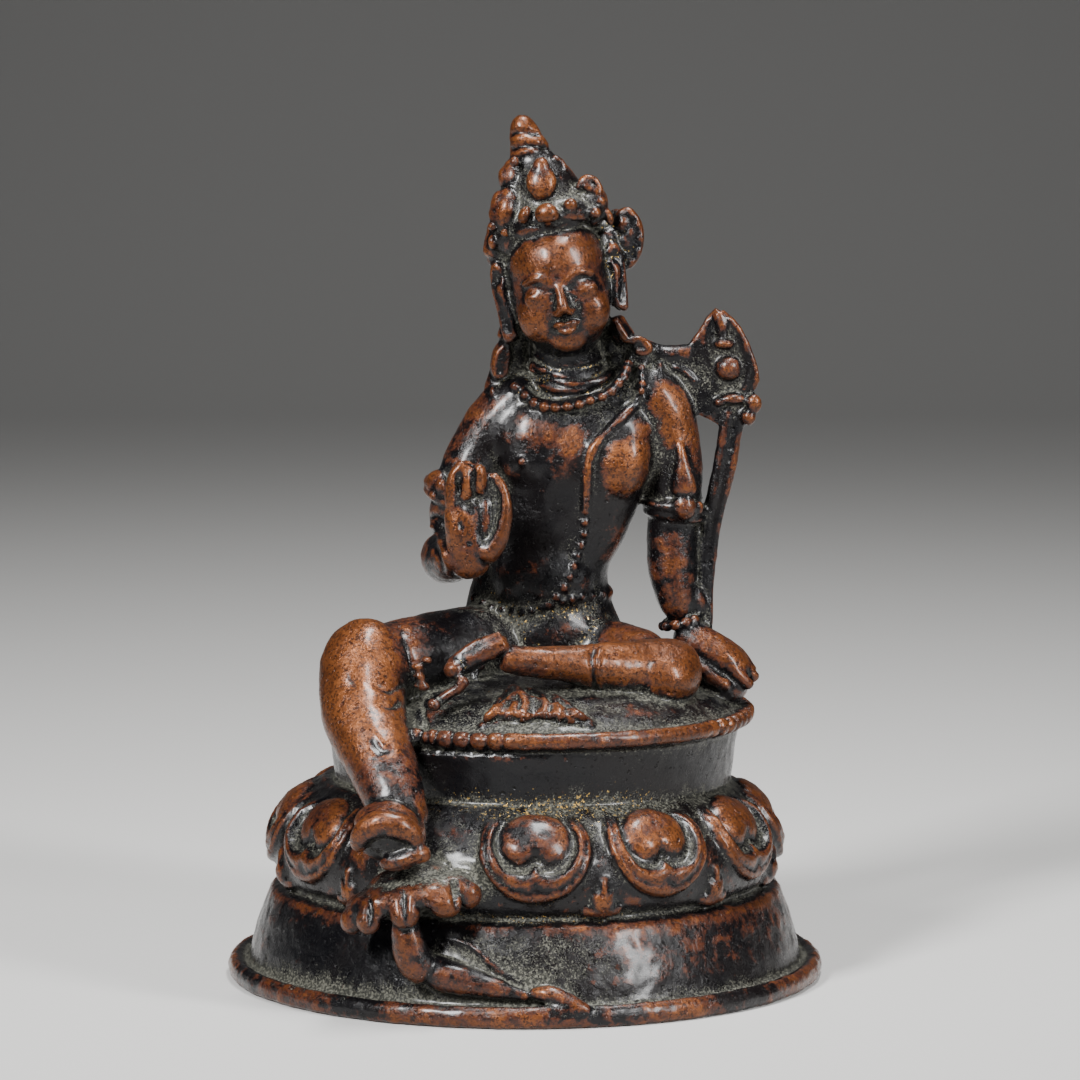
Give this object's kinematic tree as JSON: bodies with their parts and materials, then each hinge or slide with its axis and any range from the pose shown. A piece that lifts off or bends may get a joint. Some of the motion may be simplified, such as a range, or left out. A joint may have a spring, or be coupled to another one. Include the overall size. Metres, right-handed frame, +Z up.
{
  "type": "maitreya figure",
  "caption": "Small cast copper-alloy figure of a seated bodhisattva with a lotus at the shoulder and a leg hanging to a small lotus, in one with its round lotus throne.",
  "frame": {"origin": "middle of the flat underside of the throne", "axes": "+Z up through the throne and the head, -Y the way the figure faces, +X to the right seen from the front"},
  "size_m": [0.0868, 0.0868, 0.1249],
  "materials": {
    "bronze": "cast, worn bright on the high places, dark patina and dust in the hollows"
  },
  "bodies": {
    "root": {"maitreya_figure": "bronze"}
  },
  "joints": []
}
